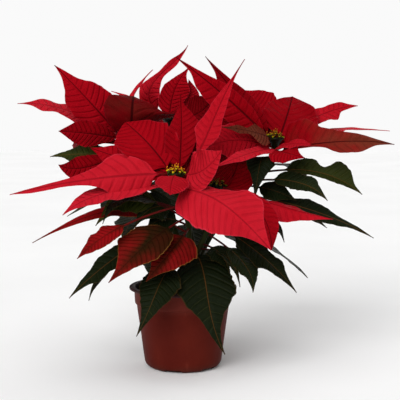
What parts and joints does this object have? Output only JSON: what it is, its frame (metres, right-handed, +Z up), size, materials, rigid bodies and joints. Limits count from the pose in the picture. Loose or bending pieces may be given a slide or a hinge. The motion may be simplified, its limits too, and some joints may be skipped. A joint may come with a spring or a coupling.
{
  "type": "potted poinsettia",
  "caption": "Poinsettia in bloom in a plain round nursery pot: red bract heads with small yellow-green true flowers over dark green leaves.",
  "frame": {"origin": "centre of the pot's flat foot, on the surface that it stands on", "axes": "+Z up along the pot's axis, -Y towards the viewer of the plant's fuller front, +X to the viewer's right"},
  "size_m": [0.4213, 0.2898, 0.3594],
  "materials": {
    "pot": "satin thermoformed plastic, terracotta brown",
    "soil": "rough dark peat",
    "bark": "smooth green-brown young bark",
    "leaf": "dark green leaf with a soft wax sheen",
    "bract": "velvety red bract with darker veins",
    "turning": "leaf turning from green to red",
    "bud": "waxy yellow-green buds with orange stamens"
  },
  "bodies": {
    "root": {"pot": "pot", "soil": "soil", "trunk": "bark", "leafy_stem_front": "leaf", "bracts_front": "bract", "cyathia_front": "bud", "leafy_stem_low": "leaf", "bracts_low": "bract", "cyathia_low": "bud", "leafy_stem_right": "leaf", "bracts_right": "bract", "cyathia_right": "bud", "leafy_stem_left": "leaf", "bracts_left": "bract", "cyathia_left": "bud", "leafy_stem_back": "leaf", "bracts_back": "bract", "cyathia_back": "bud", "turning_leaf_left": "turning", "turning_leaf_middle": "turning", "red_leaf_long": "turning", "red_leaf_short": "turning"}
  },
  "joints": []
}
